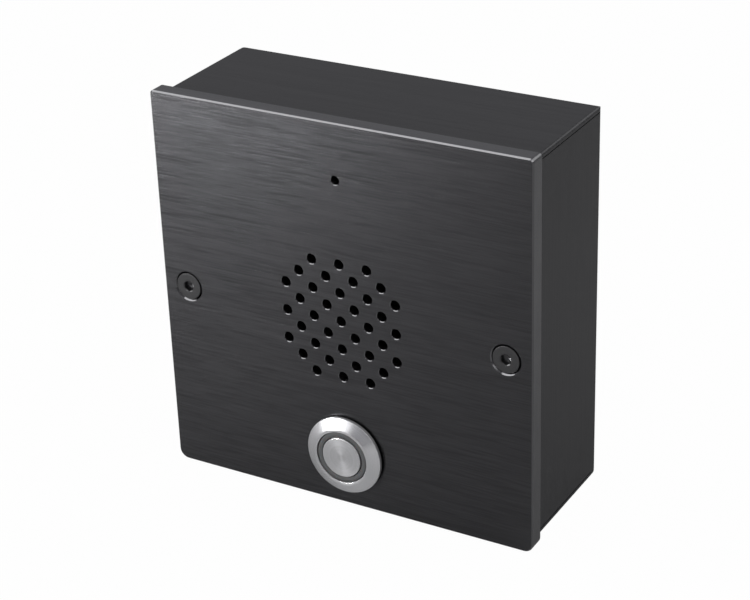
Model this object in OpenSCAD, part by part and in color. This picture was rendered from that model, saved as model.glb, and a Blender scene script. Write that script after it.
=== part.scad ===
// Audio intercom panel for a wall or a counter front: a thick brushed plate on a folded sheet box,
// with a loudspeaker, a microphone, one lit push button and the circuit board that serves them.
// X runs right, Z runs up and the front faces -Y. The origin is the centre of the wall face.

/* [Front plate] */
// Width of the plate
plate_w = 121; // [114:1:150]
// Height of the plate
plate_h = 121; // [117:1:150]
// Thickness of the plate
plate_t = 5; // [4:0.5:6]
// Radius of the two top corners
plate_top_r = 1.2; // [0.8:0.1:4]
// Radius of the two bottom corners
plate_bottom_r = 3; // [0.8:0.1:6]
// Chamfer round the front edge
plate_edge = 0.4; // [0.2:0.1:0.7]

/* [Sound holes] */
// Circle through the outermost hole centres
grille_d = 40; // [32:1:42]
// Diameter of one sound hole
sound_hole_d = 3; // [2:0.1:3.5]
// Distance of the microphone hole from the plate's top edge
mic_inset = 17; // [15.5:0.5:24]
// Diameter of the microphone hole
mic_hole_d = 2.6; // [1.4:0.1:3]
// Chamfer on the rim of each hole
hole_edge = 0.2; // [0.1:0.05:0.4]

/* [Plate screws] */
// Distance of each screw from the plate's side edge
screw_inset = 8.3; // [7.5:0.1:10]
// Thread diameter
screw_d = 4; // [3:0.5:4]
// Length of the screw with its head
screw_len = 12; // [11:1:16]
// Head diameter
screw_head_d = 8.2; // [6.5:0.1:8.4]
// Upright edge of the head, above its cone
screw_land = 0.5; // [0.2:0.05:0.6]
// Countersink diameter at the plate's face
screw_sink_d = 9.6; // [8.6:0.1:10]
// Hex socket across its flats
socket_af = 2.5; // [2:0.5:3]
// Depth of the hex socket
socket_depth = 1.9; // [1:0.1:2.2]

/* [Back box] */
// Depth from the wall to the back of the plate
box_d = 42; // [38:1:60]
// How far the plate overhangs the box on every side
box_setback = 1.6; // [0.5:0.1:2]
// Sheet thickness
sheet_t = 1.5; // [1:0.1:1.8]
// Inside radius of the rear bends
bend_in = 0.2; // [0.1:0.1:2]
// Radius of the edges where two walls meet
edge_r = 0.8; // [0.2:0.1:1.2]
// Radius of the two relieved rear corners
relief_r = 3.8; // [2:0.1:5]
// Slit between the folded walls at each corner
seam_gap = 0.3; // [0.2:0.1:0.6]
// Thickness of the foam gasket under the plate
gasket_t = 0.8; // [0.5:0.1:1.5]
// Width of the gasket's sides
gasket_w = 5; // [3:0.5:6]

/* [Fixing brackets] */
// Sheet thickness of a bracket
bracket_t = 1.2; // [1:0.1:1.5]
// Height of a bracket along the side wall
bracket_h = 20; // [12:1:30]
// Depth of a bracket along the side wall
bracket_d = 14; // [8:1:18]
// Inside radius of the bracket's bend
bracket_bend_in = 0.8; // [0.4:0.1:1.2]
// Length of the tapped collar behind the bracket
collar_len = 2.5; // [1.5:0.1:4]
// Wall of the tapped collar
collar_wall = 1; // [0.6:0.1:1.2]

/* [Wall fixing] */
// Distance between the wall screw holes, across
wall_hole_x = 96; // [94:1:98]
// Distance between the wall screw holes, up and down
wall_hole_z = 96; // [94:1:98]
// Diameter of the wall screw holes
wall_hole_d = 5; // [4:0.5:6]
// Place of the cable entry, across from the middle
cable_x = -28; // [-36:1:-26]
// Distance of the cable entry from the plate's bottom edge
cable_inset = 28; // [22:1:34]
// Bore of the cable bush
cable_bore = 15; // [10:0.5:16]
// Wall of the cable bush
bush_wall = 1.5; // [1:0.1:2]
// Width of the bush's inside flange
bush_flange = 2; // [1:0.5:3]
// Thickness of the bush's inside flange
bush_flange_t = 1.5; // [1:0.1:2]

/* [Loudspeaker] */
// Outside diameter of the basket
speaker_d = 51; // [48:1:53]
// Width of the basket's flat rim
speaker_rim = 3; // [2.6:0.1:3.5]
// Depth of the basket
basket_h = 9.7; // [9:0.1:11]
// Sheet thickness of the basket
basket_t = 0.8; // [0.6:0.1:1]
// Outside diameter of the basket's floor
basket_foot_d = 29; // [28:0.5:31]
// Width of each basket window
window_w = 14; // [10:1:16]
// Width of the surround's roll
surround_w = 2.8; // [2.4:0.1:3.2]
// Thickness of the surround and the spider
surround_t = 0.3; // [0.2:0.05:0.4]
// Depth of the cone
cone_h = 5.5; // [4.8:0.1:5.6]
// Thickness of the cone
cone_t = 0.4; // [0.3:0.05:0.5]
// Width of the flat edge that the surround is glued to
cone_edge = 1.2; // [0.8:0.1:1.6]
// Inside diameter of the voice coil
coil_d = 12.7; // [12:0.1:13.2]
// Air gap on each side of the voice coil
air_gap = 0.35; // [0.3:0.05:0.45]
// Travel of the cone each way
cone_travel = 0.8; // [0.4:0.1:0.8]
// Magnet diameter
magnet_d = 32; // [29:0.5:33]
// Magnet thickness
magnet_t = 6; // [4:0.5:7]
// Thickness of the top plate
top_plate_t = 2; // [1.5:0.1:2.5]
// Thickness of the yoke's back
yoke_t = 2.5; // [2:0.1:3]
// Thickness of the acoustic cloth
cloth_t = 0.3; // [0.2:0.1:0.5]
// Thickness of the foam ring in front of the basket
speaker_seal_t = 2; // [1.8:0.1:3]

/* [Loudspeaker clamps] */
// Distance of each stud from the basket's rim
stud_gap = 3; // [2.6:0.1:4]
// Stud diameter
stud_d = 3; // [2.5:0.5:3]
// Stud length
stud_len = 9; // [8:0.5:12]
// Clamp width
clamp_w = 8; // [6:0.5:10]
// Clamp sheet thickness
clamp_t = 1; // [0.8:0.1:1.5]
// How far a clamp reaches over the rim
clamp_lap = 1.8; // [1:0.1:2.2]
// Clamp nut across its flats
clamp_nut_af = 5.5; // [5:0.5:5.5]
// Clamp nut thickness
clamp_nut_t = 2.4; // [1.6:0.1:3]

/* [Microphone] */
// Capsule diameter
mic_d = 9.7; // [6:0.1:9.8]
// Capsule height
mic_h = 5; // [4:0.5:7]
// Wall of the rubber boot
boot_wall = 1.4; // [1:0.1:2]
// Width of the boot's flange
boot_flange = 1.8; // [1:0.1:2.5]
// Thickness of the boot's floor and flange
boot_floor = 1.2; // [0.8:0.1:1.6]

/* [Button head] */
// Distance of the button's axis from the plate's bottom edge
button_inset = 17.2; // [16.5:0.1:22]
// Bezel diameter
bezel_d = 24.5; // [24:0.5:27]
// Height of the bezel above its seal
bezel_h = 2.4; // [1.8:0.1:2.6]
// Upright edge below the bezel's bevel
bezel_wall = 0.9; // [0.3:0.1:1]
// Flat lip between the bevel and the light ring
lip_w = 0.85; // [0.5:0.05:1.2]
// Thickness of the seal under the bezel
bezel_seal_t = 0.6; // [0.4:0.1:1.2]
// Width of the seal, outwards from the bush
bezel_seal_w = 2.4; // [1.2:0.1:2.6]
// Outside diameter of the light ring
light_d = 16.6; // [16:0.1:17]
// How far the light ring lies below the lip
light_sunk = 0.3; // [0:0.1:0.6]
// Cap diameter
cap_d = 12.7; // [12:0.1:13]
// Cap thickness
cap_t = 3; // [2.5:0.1:3.5]
// Chamfer round the cap's face
cap_edge = 0.35; // [0.1:0.05:0.5]
// Travel of the cap
button_travel = 2; // [1:0.25:2.5]

/* [Button body] */
// Diameter of the threaded bush
bush_d = 19; // [18.6:0.1:20]
// Length of the bush behind the plate
bush_len = 13; // [12:0.5:16]
// Room under the pressed cap, above the guide
cap_room = 5; // [3:0.5:6]
// Stem diameter
stem_d = 5; // [4:0.1:5.4]
// Outside diameter of the return spring
spring_d = 9; // [8.6:0.1:9.2]
// Wire diameter of the return spring
spring_wire = 0.7; // [0.5:0.1:0.8]
// Turns of the return spring
spring_turns = 6; // [4:1:7]
// Depth of the spring's pocket in the guide
pocket_depth = 7; // [5:0.5:8]
// Height of the rear base
base_h = 7; // [6.5:0.5:10]
// Wall of the rear base
base_wall = 1.6; // [1.2:0.1:2]
// Length of the blades and pins behind the base
blade_len = 6; // [4:0.5:7]
// Button nut across its flats
button_nut_af = 22; // [21.5:0.5:24]
// Button nut thickness
button_nut_t = 3.5; // [2.5:0.5:4]
// Lock washer thickness
lock_washer_t = 1; // [0.6:0.1:1.2]
// Width of the lock washer's ring
lock_washer_w = 2.2; // [1.6:0.1:2.4]

/* [Circuit board] */
// Width of the board
board_w = 82; // [81:0.5:84]
// Height of the board
board_h = 54; // [50:0.5:56]
// Height of the board's middle above the plate's middle
board_rise = 21; // [20:0.5:22]
// Board thickness
board_t = 1.6; // [1:0.1:2]
// Height of the standoffs
standoff_h = 6; // [4:0.5:6]
// Standoff diameter
standoff_d = 5.5; // [5:0.1:6]
// Distance of the board screws from the board's edges
board_screw_inset = 3.5; // [3.2:0.1:3.8]

/* [Hidden] */
$fn = 64;
// Clearances: a piece pushed into its seat, a piece that runs past another, a bush in its panel hole
// and a screw in its clearance hole
seat_gap = 0.05;
run_gap = 0.3;
panel_gap = 0.15;
screw_gap = 0.25;
// How far a cut runs past the face that it opens
over = 1;

// Levels along the depth, counted from the plate's front face
total_d = box_d + plate_t;
wall_len = box_d - gasket_t;
speaker_front = plate_t + cloth_t + speaker_seal_t + surround_t;

// Box and plate screws
box_w = plate_w - 2 * box_setback;
box_h = plate_h - 2 * box_setback;
inner_w = box_w - 2 * sheet_t;
inner_h = box_h - 2 * sheet_t;
screw_x = plate_w / 2 - screw_inset;
screw_r = screw_d / 2 - seat_gap;
screw_clear_r = screw_d / 2 + screw_gap;
collar_r = screw_d / 2 + collar_wall;
bend_r = bend_in + sheet_t;
bracket_bend = bracket_bend_in + bracket_t;
bracket_margin = 2;
bracket_reach = inner_w / 2 - screw_x + collar_r + bracket_margin;
bush_r = cable_bore / 2 + bush_wall;
cable_drop = plate_h / 2 - cable_inset;
mic_rise = plate_h / 2 - mic_inset;
button_drop = plate_h / 2 - button_inset;

// Sound holes: every other point of a square grid, kept inside a circle
grid_rings = 4;
grid_limit = 20;
grid_step = grille_d / 2 / sqrt(grid_limit);

// Loudspeaker radii, from the rim inwards, and levels behind the basket's front
rim_r = speaker_d / 2;
rim_in = rim_r - speaker_rim;
roll_out = rim_in - basket_t;
cone_r = roll_out - surround_w;
basket_foot_r = basket_foot_d / 2;
former_t = 0.2;
winding_t = 0.2;
former_in = coil_d / 2;
former_out = former_in + former_t;
pole_r = former_in - air_gap;
gap_r = former_out + winding_t + air_gap;
gap_margin = 2;
basket_hole_r = gap_r + gap_margin;
magnet_top = basket_h + top_plate_t;
magnet_end = magnet_top + magnet_t;
spider_drop = 1.4;
spider_level = cone_h + spider_drop;
spider_r = basket_foot_r - basket_t - run_gap;
winding_h = top_plate_t + 2 * cone_travel;
winding_mid = basket_h + top_plate_t / 2;
clamp_end = rim_r + 2 * stud_gap;
plate_level = speaker_front - plate_t;

// Button radii and levels, counted outwards from the plate's front face
bezel_r = bezel_d / 2;
barrel_r = bush_d / 2;
bore_r = light_d / 2 + seat_gap;
lip_r = bore_r + lip_w;
lip_edge = 0.2;
cap_r = cap_d / 2;
head_top = bezel_seal_t + bezel_h;
cap_under = head_top - cap_t;
barrel_end = -plate_t - bush_len;
guide_top = cap_under - button_travel - cap_room;
pocket_floor = guide_top - pocket_depth;
pocket_r = spring_d / 2 + run_gap;
stem_r = stem_d / 2;
lamp_board_t = 0.8;
lamp_size = 1.2;
lamp_h = 0.6;
lamp_r = (cap_r + run_gap + light_d / 2) / 2;
light_end = guide_top + lamp_board_t + lamp_h + run_gap;
pin_r = 0.3;
pin_place = (pocket_r + bore_r) / 2;
contact_t = 0.5;
contact_gap = 0.1;
bridge_size = [12, 3];
pad_size = [2.4, 2.4];
bridge_top = barrel_end - contact_gap;
pad_top = bridge_top - contact_t - button_travel - contact_gap;
blade_x = bridge_size[0] / 2 - pad_size[0] / 2;
base_end = barrel_end - base_h;
blade_end = base_end - blade_len;

// Board pieces: sizes are width, height and thickness off the board
jack_size = [16, 21.5, 13.5];
jack_x = -26;
jack_overhang = 2;
port_size = [11.9, 12, 8];
block_size = [16, 8, 10];
block_x = 25.5;
block_ways = 4;
well_depth = 4;
can_d = 8;
can_h = 11.5;
can_places = [[-30, 20], [-30, 30]];
chip_places = [[0, 17], [-12, 33], [10, 28], [14, 4]];
chip_sizes = [[14, 14, 1.2], [6, 5, 1], [7, 7, 0.9], [5, 6, 1]];
transformer_size = [15, 13, 11];
transformer_place = [27, 31];
header_h = 5;
header_pitch = 3;
mic_header_size = [6, 5];
mic_header_x = 8;
mic_header_z = 39;
button_header_size = [10, 6];
speaker_header_size = [6, 8];
speaker_header_z = 10;
board_level = standoff_h + board_t;
board_face_y = -sheet_t - board_level;
board_right = board_w / 2;
board_foot = board_rise - board_h / 2;

// Tag strip on the basket's rim, for the speaker leads
tag_board_size = [7, 10, 1];
tag_size = [9, 2, 0.5];
tag_spread = 2.5;
tag_x = rim_in + 1.5;

// Leads: the straight stretch at each end, and the points between, set by hand
lead_d = 1.2;
lead_steps = 4;
lead_sides = 6;
speaker_lead_ends = [2.5, 3];
speaker_lead_route = [[40, -29, 3], [46, -20, 7]];
speaker_lead_spread = [2, 1.5];
mic_lead_end = 4;
button_lead_ends = [3, 4];
button_lead_route = [[-7, -35.5], [-9, -18]];
button_lead_places = [-3, -1, 1, 3];
button_lead_fan = [1.4, 1.2];

// Frames. In both, the local Z axis points out of the front of the panel.

// Origin on the plate's front face
module from_front(x = 0, z = 0) {
    translate([x, -total_d, z]) rotate([90, 0, 0]) children();
}

// Origin on the inside face of the back panel
module from_back(x = 0, z = 0) {
    translate([x, -sheet_t, z]) rotate([90, 0, 0]) children();
}

// Origin at the front of the basket
module at_speaker() {
    from_front() translate([0, 0, -speaker_front]) children();
}

module at_studs() {
    for (turn = [45 : 90 : 315])
        rotate(turn) translate([rim_r + stud_gap, 0, 0]) children();
}

module at_button() {
    from_front(0, -button_drop) children();
}

// Origin on the front face of the circuit board
module on_board(x, z) {
    from_back(x, z) translate([0, 0, board_level]) children();
}

module at_board_screws() {
    for (x = [-1, 1], z = [-1, 1])
        from_back(x * (board_w / 2 - board_screw_inset), board_rise + z * (board_h / 2 - board_screw_inset))
            children();
}

// Shared shapes

module ring(outer, inner, h) {
    difference() {
        cylinder(r = outer, h = h);
        translate([0, 0, -over]) cylinder(r = inner, h = h + 2 * over);
    }
}

module block(size) {
    translate([-size[0] / 2, -size[1] / 2, 0]) cube(size);
}

// Flat sheet bent once, with its outside corner at the origin and its legs along X and Y
module bent_angle(leg_x, leg_y, t, r) {
    difference() {
        rounded_corner(leg_x, leg_y, r);
        translate([t, t]) rounded_corner(leg_x, leg_y, r - t);
    }
}

module rounded_corner(x, y, r) {
    translate([r, 0]) square([x - r, y]);
    translate([0, r]) square([x, y - r]);
    translate([r, r]) circle(r = r);
}

// Round tube swept along a smooth line through the given points, with its first and last stretch straight
function unit(v) = v / norm(v);

function curve(a, b, c, d, t) =
    b + (c - a) * t / 2 + (2 * a - 5 * b + 4 * c - d) * t * t / 2 + (3 * b - a - 3 * c + d) * t * t * t / 2;

function smooth(p, steps) = let (last = len(p) - 1) concat(
    [p[0]],
    [for (i = [1 : last - 2], k = [0 : steps - 1]) curve(p[i - 1], p[i], p[i + 1], p[i + 2], k / steps)],
    [p[last - 1], p[last]]
);

function headings(p) = let (last = len(p) - 1) [
    for (i = [0 : last]) unit(p[min(i + 1, last)] - p[max(i - 1, 0)])
];

// Side directions carried along the line without twisting
function sides_along(heading, side, i = 0) = i == len(heading) ? [] :
    let (next = unit(side - (side * heading[i]) * heading[i]))
    concat([next], sides_along(heading, next, i + 1));

module tube(path, d, sides, side) {
    heading = headings(path);
    across = sides_along(heading, side);
    last = len(path) - 1;
    ring_points = [for (i = [0 : last], k = [0 : sides - 1])
        let (turn = 360 * k / sides)
        path[i] + d / 2 * (cos(turn) * across[i] + sin(turn) * cross(heading[i], across[i]))];
    walls = [for (i = [0 : last - 1], k = [0 : sides - 1])
        let (a = i * sides + k, b = i * sides + (k + 1) % sides)
        each [[a, a + sides, b + sides], [a, b + sides, b]]];
    ends = [for (k = [1 : sides - 2], far = [0, last * sides])
        far == 0 ? [0, k, k + 1] : [far, far + k + 1, far + k]];
    polyhedron(points = ring_points, faces = concat(walls, ends));
}

module lead(points, side = [1, 0.2, 0]) {
    tube(smooth(points, lead_steps), lead_d, lead_sides, side);
}

// Enclosure

// One straight stretch of the plate, from its middle to an edge with a chamfered front
module plate_side(reach, length) {
    rotate([90, 0, 0]) linear_extrude(height = length, center = true)
        polygon([[0, 0], [reach, 0], [reach, plate_t - plate_edge], [reach - plate_edge, plate_t],
                 [0, plate_t]]);
}

module plate_corner(x, y, r) {
    translate([x * (plate_w / 2 - r), y * (plate_h / 2 - r), 0]) {
        cylinder(r = r, h = plate_t - plate_edge);
        translate([0, 0, plate_t - plate_edge]) cylinder(r1 = r, r2 = r - plate_edge, h = plate_edge);
    }
}

module plate_blank() {
    rotate(90) plate_side(plate_h / 2, plate_w - 2 * plate_top_r);
    rotate(270) plate_side(plate_h / 2, plate_w - 2 * plate_bottom_r);
    for (turn = [0, 180])
        translate([0, (plate_bottom_r - plate_top_r) / 2, 0]) rotate(turn)
            plate_side(plate_w / 2, plate_h - plate_top_r - plate_bottom_r);
    for (x = [-1, 1]) {
        plate_corner(x, 1, plate_top_r);
        plate_corner(x, -1, plate_bottom_r);
    }
}

// Cut for a hole whose front rim is chamfered
module rimmed_hole(d) {
    translate([0, 0, -over]) cylinder(d = d, h = plate_t + 2 * over);
    translate([0, 0, plate_t - hole_edge])
        cylinder(r1 = d / 2, r2 = d / 2 + hole_edge + over, h = hole_edge + over);
}

module sound_holes() {
    for (i = [-grid_rings : grid_rings], k = [-grid_rings : grid_rings])
        if ((i + k) % 2 == 0 && i * i + k * k <= grid_limit)
            translate([i * grid_step, k * grid_step, 0]) rimmed_hole(sound_hole_d);
}

module screw_hole() {
    sink_r = screw_sink_d / 2;
    translate([0, 0, -over]) cylinder(r = screw_clear_r, h = plate_t + 2 * over);
    translate([0, 0, plate_t - sink_r]) cylinder(r1 = 0, r2 = sink_r + over, h = sink_r + over);
}

module front_plate() {
    color("#3c3c3d") from_front() translate([0, 0, -plate_t]) difference() {
        plate_blank();
        sound_holes();
        translate([0, mic_rise, 0]) rimmed_hole(mic_hole_d);
        translate([0, -button_drop, -over]) cylinder(r = barrel_r + panel_gap, h = plate_t + 2 * over);
        for (x = [-screw_x, screw_x]) translate([x, 0, 0]) screw_hole();
    }
}

// Section of a block whose two rear edges are rounded
module channel_fill(half, r) {
    translate([-half, r]) square([2 * half, wall_len - r]);
    translate([r - half, 0]) square([2 * (half - r), wall_len]);
    for (side = [-1, 1]) translate([side * (half - r), r]) circle(r = r);
}

// Block with all four rear edges rounded, its back the given distance in front of the wall
module box_fill(half_w, half_h, r, back) {
    intersection() {
        linear_extrude(height = 2 * half_h, center = true)
            mirror([0, 1]) translate([0, back]) channel_fill(half_w, r);
        rotate([0, 90, 0]) linear_extrude(height = 2 * half_w, center = true)
            mirror([0, 1]) translate([0, back]) channel_fill(half_h, r);
    }
}

module rounded_square(w, h, r) {
    square([w - 2 * r, h], center = true);
    square([w, h - 2 * r], center = true);
    for (x = [-1, 1], y = [-1, 1]) translate([x * (w / 2 - r), y * (h / 2 - r)]) circle(r = r);
}

// The top and bottom walls cover the ends of the side walls, and leave an open seam there from the
// front edge to the rear bend
module corner_seams() {
    reach = wall_len - bend_r + over;
    for (x = [0, 1], z = [0, 1]) mirror([x, 0, 0]) mirror([0, 0, z])
        translate([inner_w / 2 - over, -wall_len - over, inner_h / 2 - seam_gap])
            cube([sheet_t + 2 * over, reach, seam_gap]);
}

// What is cut off a square corner to round it
module corner_offcut(half) {
    translate([half - relief_r, -relief_r]) difference() {
        square(relief_r + over);
        circle(r = relief_r);
    }
}

// At two opposite corners both walls are rounded off at the rear, to free the bends
module corner_reliefs() {
    for (turn = [0, 180]) rotate([0, turn, 0]) {
        translate([inner_w / 2, 0, 0]) rotate([0, 90, 0])
            linear_extrude(height = sheet_t + over) corner_offcut(box_h / 2);
        translate([0, 0, -box_h / 2 - over])
            linear_extrude(height = sheet_t + over) corner_offcut(box_w / 2);
    }
}

module folded_sheet() {
    difference() {
        intersection() {
            box_fill(box_w / 2, box_h / 2, bend_r, 0);
            translate([0, over, 0]) rotate([90, 0, 0])
                linear_extrude(height = wall_len + 2 * over) rounded_square(box_w, box_h, edge_r);
        }
        box_fill(inner_w / 2, inner_h / 2, bend_in, sheet_t);
        corner_seams();
        corner_reliefs();
    }
}

module back_box() {
    color("#353537") difference() {
        folded_sheet();
        for (x = [-1, 1], z = [-1, 1])
            from_back(x * wall_hole_x / 2, z * wall_hole_z / 2)
                translate([0, 0, -sheet_t - over]) cylinder(d = wall_hole_d, h = sheet_t + 2 * over);
        from_back(cable_x, -cable_drop)
            translate([0, 0, -sheet_t - over]) cylinder(r = bush_r + seat_gap, h = sheet_t + 2 * over);
    }
}

module plate_gasket() {
    inset = 0.3;
    outer = [box_w - 2 * inset, box_h - 2 * inset];
    pad = [bracket_reach + sheet_t - inset, bracket_h];
    color("#202020") from_front() translate([0, 0, -plate_t - gasket_t])
        linear_extrude(height = gasket_t) difference() {
            union() {
                difference() {
                    square(outer, center = true);
                    square([outer[0] - 2 * gasket_w, outer[1] - 2 * gasket_w], center = true);
                }
                for (side = [-1, 1])
                    translate([side * (outer[0] - pad[0]) / 2, 0]) square(pad, center = true);
            }
            for (x = [-screw_x, screw_x]) translate([x, 0]) circle(r = screw_clear_r);
            translate([0, -button_drop]) circle(d = button_nut_af / cos(30) + 2 * run_gap);
        }
}

module fixing_brackets() {
    color("#8d8f92") for (side = [0, 1]) mirror([side, 0, 0]) difference() {
        union() {
            translate([inner_w / 2, -wall_len, 0]) mirror([1, 0, 0])
                linear_extrude(height = bracket_h, center = true)
                    bent_angle(bracket_reach, bracket_d, bracket_t, bracket_bend);
            translate([screw_x, bracket_t - wall_len, 0]) rotate([-90, 0, 0])
                cylinder(r = collar_r, h = collar_len);
        }
        translate([screw_x, -wall_len - over, 0]) rotate([-90, 0, 0])
            cylinder(r = screw_r + seat_gap, h = bracket_t + collar_len + 2 * over);
    }
}

module panel_screws() {
    head_r = screw_head_d / 2;
    head_level = screw_land + 2 * seat_gap - (screw_sink_d - screw_head_d) / 2;
    color("#4a4a4c") for (x = [-screw_x, screw_x])
        from_front(x, 0) translate([0, 0, head_level]) difference() {
            rotate_extrude() polygon([[0, 0], [head_r, 0], [head_r, -screw_land],
                                      [screw_r, screw_r - head_r - screw_land],
                                      [screw_r, -screw_len], [0, -screw_len]]);
            translate([0, 0, -socket_depth])
                cylinder(d = socket_af / cos(30), h = socket_depth + over, $fn = 6);
        }
}

module cable_bush() {
    color("#1b1b1b") from_back(cable_x, -cable_drop) difference() {
        union() {
            translate([0, 0, -sheet_t]) cylinder(r = bush_r, h = sheet_t);
            cylinder(r = bush_r + bush_flange, h = bush_flange_t);
        }
        translate([0, 0, -sheet_t - over]) cylinder(d = cable_bore, h = sheet_t + bush_flange_t + 2 * over);
    }
}

// Loudspeaker

module acoustic_cloth() {
    color("#141414") from_front() translate([0, 0, -plate_t - cloth_t]) cylinder(r = rim_r, h = cloth_t);
}

module speaker_seal() {
    color("#242424") at_speaker() translate([0, 0, surround_t]) ring(rim_r, rim_in, speaker_seal_t);
}

module speaker_basket() {
    floor_front = basket_t - basket_h;
    color("#77797c") at_speaker() difference() {
        rotate_extrude() polygon([
            [roll_out, 0], [rim_r, 0], [rim_r, -basket_t], [rim_in, -basket_t],
            [basket_foot_r, -basket_h], [basket_hole_r, -basket_h], [basket_hole_r, floor_front],
            [basket_foot_r - basket_t, floor_front]
        ]);
        for (turn = [0 : 90 : 270])
            rotate(turn) translate([basket_hole_r, -window_w / 2, 2 * basket_t - basket_h])
                cube([rim_r, window_w, basket_h - 4 * basket_t]);
    }
}

module speaker_surround() {
    roll_mid = (roll_out + cone_r) / 2;
    color("#1c1c1c") at_speaker() rotate_extrude() {
        translate([roll_out - surround_t, 0]) square([rim_r - roll_out + surround_t, surround_t]);
        translate([cone_r - cone_edge, 0]) square([cone_edge + surround_t, surround_t]);
        intersection() {
            translate([roll_mid, 0]) difference() {
                circle(d = surround_w);
                circle(d = surround_w - 2 * surround_t);
            }
            translate([cone_r, 0]) square([surround_w, surround_w]);
        }
    }
}

module speaker_cone() {
    neck = former_out + seat_gap;
    color("#2a2724") at_speaker() rotate_extrude() polygon([
        [cone_r, 0], [cone_r - cone_edge, 0], [neck, -cone_h], [neck, -cone_h - cone_t],
        [cone_r - cone_edge, -cone_t], [cone_r, -cone_t]
    ]);
}

module dust_cap() {
    cap_lap = 1.6;
    cap_base_r = former_out + cap_lap;
    dome_h = 2.2;
    dome_r = (cap_base_r * cap_base_r + dome_h * dome_h) / (2 * dome_h);
    slope = cone_h / (cone_r - cone_edge - former_out - seat_gap);
    base_level = slope * (cap_base_r - cone_r + cone_edge) + seat_gap;
    color("#26231f") at_speaker() translate([0, 0, base_level]) rotate_extrude() intersection() {
        translate([0, dome_h - dome_r]) difference() {
            circle(r = dome_r);
            circle(r = dome_r - cone_t);
        }
        square([cap_base_r, dome_h]);
    }
}

module voice_coil() {
    top = -cone_h;
    winding_top = winding_h / 2 - winding_mid;
    winding_end = -winding_h / 2 - winding_mid;
    wound_r = former_out + winding_t;
    color("#b5763a") at_speaker() rotate_extrude() polygon([
        [former_in, top], [former_out, top], [former_out, winding_top], [wound_r, winding_top],
        [wound_r, winding_end], [former_in, winding_end]
    ]);
}

module speaker_spider() {
    foot_w = 1.2;
    waves = 3;
    wave_h = 0.4;
    wave_steps = 24;
    inner = former_out + seat_gap;
    reach = spider_r - foot_w - inner;
    floor_level = basket_t - basket_h;
    face = [for (i = [0 : wave_steps])
        [inner + reach * i / wave_steps, -spider_level + wave_h * sin(360 * waves * i / wave_steps)]];
    back = [for (i = [wave_steps : -1 : 0]) face[i] - [0, surround_t]];
    foot = [[spider_r, -spider_level], [spider_r, floor_level], [spider_r - foot_w, floor_level]];
    color("#c9a35a") at_speaker() rotate_extrude() polygon(concat(face, foot, back));
}

module top_plate() {
    color("#9b9da0") at_speaker() translate([0, 0, -magnet_top])
        ring(basket_foot_r - basket_t, gap_r, top_plate_t);
}

module magnet() {
    color("#2d2d2f") at_speaker() translate([0, 0, -magnet_end]) ring(magnet_d / 2, basket_hole_r, magnet_t);
}

module yoke() {
    color("#9b9da0") at_speaker() translate([0, 0, -magnet_end - yoke_t]) {
        cylinder(r = basket_foot_r - basket_t, h = yoke_t);
        cylinder(r = pole_r, h = yoke_t + magnet_end - basket_h);
    }
}

module tag_board() {
    size = tag_board_size;
    color("#8a5a34") at_speaker() translate([tag_x, -size[1] / 2, -basket_t - size[2]]) cube(size);
}

module speaker_tags() {
    size = tag_size;
    color("#d0a94c") at_speaker() for (y = [-tag_spread, tag_spread])
        translate([tag_x, y - size[1] / 2, -basket_t - tag_board_size[2] - size[2]]) cube(size);
}

module speaker_studs() {
    color("#a9abad") from_front() translate([0, 0, -plate_t - stud_len]) at_studs()
        cylinder(d = stud_d, h = stud_len);
}

module speaker_clamps() {
    inner = -stud_gap - clamp_lap;
    heel = clamp_end - rim_r - stud_gap;
    back = -basket_t - clamp_t;
    color("#a2a4a7") at_speaker() at_studs() difference() {
        rotate([90, 0, 0]) linear_extrude(height = clamp_w, center = true) polygon([
            [inner, -basket_t], [heel - clamp_t, -basket_t], [heel - clamp_t, plate_level],
            [heel, plate_level], [heel, back], [inner, back]
        ]);
        translate([0, 0, back - over]) cylinder(d = stud_d + 2 * seat_gap, h = clamp_t + 2 * over);
    }
}

module clamp_nuts() {
    color("#b4b6b8") at_speaker() translate([0, 0, -basket_t - clamp_t - clamp_nut_t]) at_studs()
        difference() {
            cylinder(d = clamp_nut_af / cos(30), h = clamp_nut_t, $fn = 6);
            translate([0, 0, -over]) cylinder(d = stud_d + 2 * seat_gap, h = clamp_nut_t + 2 * over);
        }
}

// Microphone

module mic_boot() {
    pocket = mic_d / 2 + seat_gap;
    sleeve = pocket + boot_wall;
    port = mic_hole_d / 2;
    color("#191919") from_front(0, mic_rise) translate([0, 0, -plate_t]) rotate_extrude() polygon([
        [port, 0], [sleeve + boot_flange, 0], [sleeve + boot_flange, -boot_floor], [sleeve, -boot_floor],
        [sleeve, -boot_floor - mic_h], [pocket, -boot_floor - mic_h], [pocket, -boot_floor],
        [port, -boot_floor]
    ]);
}

module mic_capsule() {
    color("#b9bbbd") from_front(0, mic_rise) translate([0, 0, -plate_t - boot_floor - mic_h]) difference() {
        cylinder(d = mic_d, h = mic_h);
        translate([0, 0, mic_h - boot_floor]) cylinder(d = mic_hole_d, h = boot_floor + over);
    }
}

// Push button

module button_bush() {
    bevel_foot = bezel_seal_t + bezel_wall;
    color("#b3b3b1") at_button() rotate_extrude() polygon([
        [bore_r, barrel_end], [barrel_r, barrel_end], [barrel_r, bezel_seal_t], [bezel_r, bezel_seal_t],
        [bezel_r, bevel_foot], [lip_r, head_top], [bore_r + lip_edge, head_top],
        [bore_r, head_top - lip_edge]
    ]);
}

module bezel_seal() {
    inner = barrel_r + seat_gap;
    color("#171717") at_button() ring(inner + bezel_seal_w, inner, bezel_seal_t);
}

module light_ring() {
    color("#6e6f70") at_button() translate([0, 0, light_end])
        ring(light_d / 2, cap_r + run_gap, head_top - light_sunk - light_end);
}

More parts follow.
